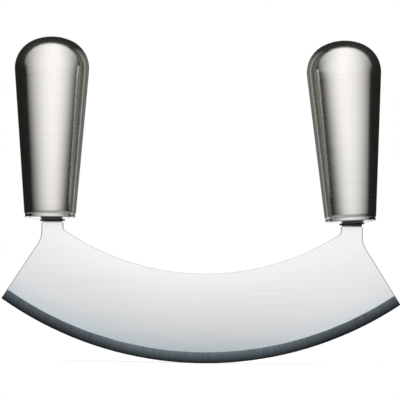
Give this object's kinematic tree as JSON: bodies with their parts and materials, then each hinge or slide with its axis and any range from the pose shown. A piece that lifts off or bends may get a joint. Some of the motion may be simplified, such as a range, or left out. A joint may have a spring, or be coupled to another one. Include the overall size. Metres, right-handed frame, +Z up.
{
  "type": "mezzaluna",
  "caption": "Crescent rocking blade with a bevelled cutting edge under upright, tapered steel handles with domed tops, for chopping herbs.",
  "frame": {"origin": "the lowest point of the cutting edge, in the middle of the blade's thickness", "axes": "+X along the blade from the left tip to the right tip, +Y through the blade's thickness, away from its front face, +Z up towards the handles"},
  "size_m": [0.1996, 0.0374, 0.1633],
  "materials": {
    "blade_steel": "fine ground",
    "handle_steel": "satin",
    "cap_steel": "polished",
    "seal": "matt",
    "core": "cast"
  },
  "bodies": {
    "root": {"blade": "blade_steel", "left_handle_shell": "handle_steel", "right_handle_shell": "handle_steel", "left_end_cap": "cap_steel", "right_end_cap": "cap_steel", "left_neck_seal": "seal", "right_neck_seal": "seal", "left_handle_core": "core", "right_handle_core": "core"}
  },
  "joints": []
}
